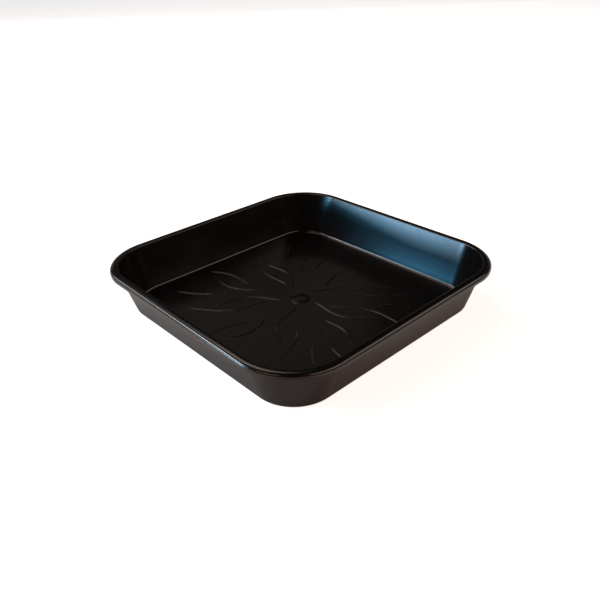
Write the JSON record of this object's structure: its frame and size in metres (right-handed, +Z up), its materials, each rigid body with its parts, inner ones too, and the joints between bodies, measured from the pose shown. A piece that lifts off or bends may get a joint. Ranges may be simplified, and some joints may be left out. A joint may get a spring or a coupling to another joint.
{
  "type": "square plant saucer",
  "caption": "Shallow square plastic saucer with rounded corners, leaning walls, a turned-down rim and low leaf-shaped ribs on the floor, which catches water under a potted plant.",
  "frame": {"origin": "middle of the flat underside, on the surface that the saucer stands on", "axes": "+Z up, out of the open dish; +X and +Y square to two neighbouring sides of the rim"},
  "size_m": [0.4, 0.4, 0.0635],
  "materials": {
    "black_plastic": "satin black moulded plastic with a soft gloss"
  },
  "bodies": {
    "root": {"floor_plate": "black_plastic", "side_wall": "black_plastic", "rim_lip": "black_plastic", "centre_boss": "black_plastic", "petal_inner_rib_1": "black_plastic", "petal_inner_rib_2": "black_plastic", "petal_inner_rib_3": "black_plastic", "petal_inner_rib_4": "black_plastic", "petal_inner_rib_5": "black_plastic", "petal_outer_rib_1": "black_plastic", "petal_outer_rib_2": "black_plastic", "petal_outer_rib_3": "black_plastic", "petal_outer_rib_4": "black_plastic", "petal_outer_rib_5": "black_plastic", "leaflet_inner_rib_1": "black_plastic", "leaflet_inner_rib_2": "black_plastic", "leaflet_inner_rib_3": "black_plastic", "leaflet_inner_rib_4": "black_plastic", "leaflet_inner_rib_5": "black_plastic", "leaflet_outer_rib_1": "black_plastic", "leaflet_outer_rib_2": "black_plastic", "leaflet_outer_rib_3": "black_plastic", "leaflet_outer_rib_4": "black_plastic", "leaflet_outer_rib_5": "black_plastic", "corner_rib_back": "black_plastic", "corner_rib_left": "black_plastic", "corner_rib_front": "black_plastic", "corner_rib_right": "black_plastic"}
  },
  "joints": []
}
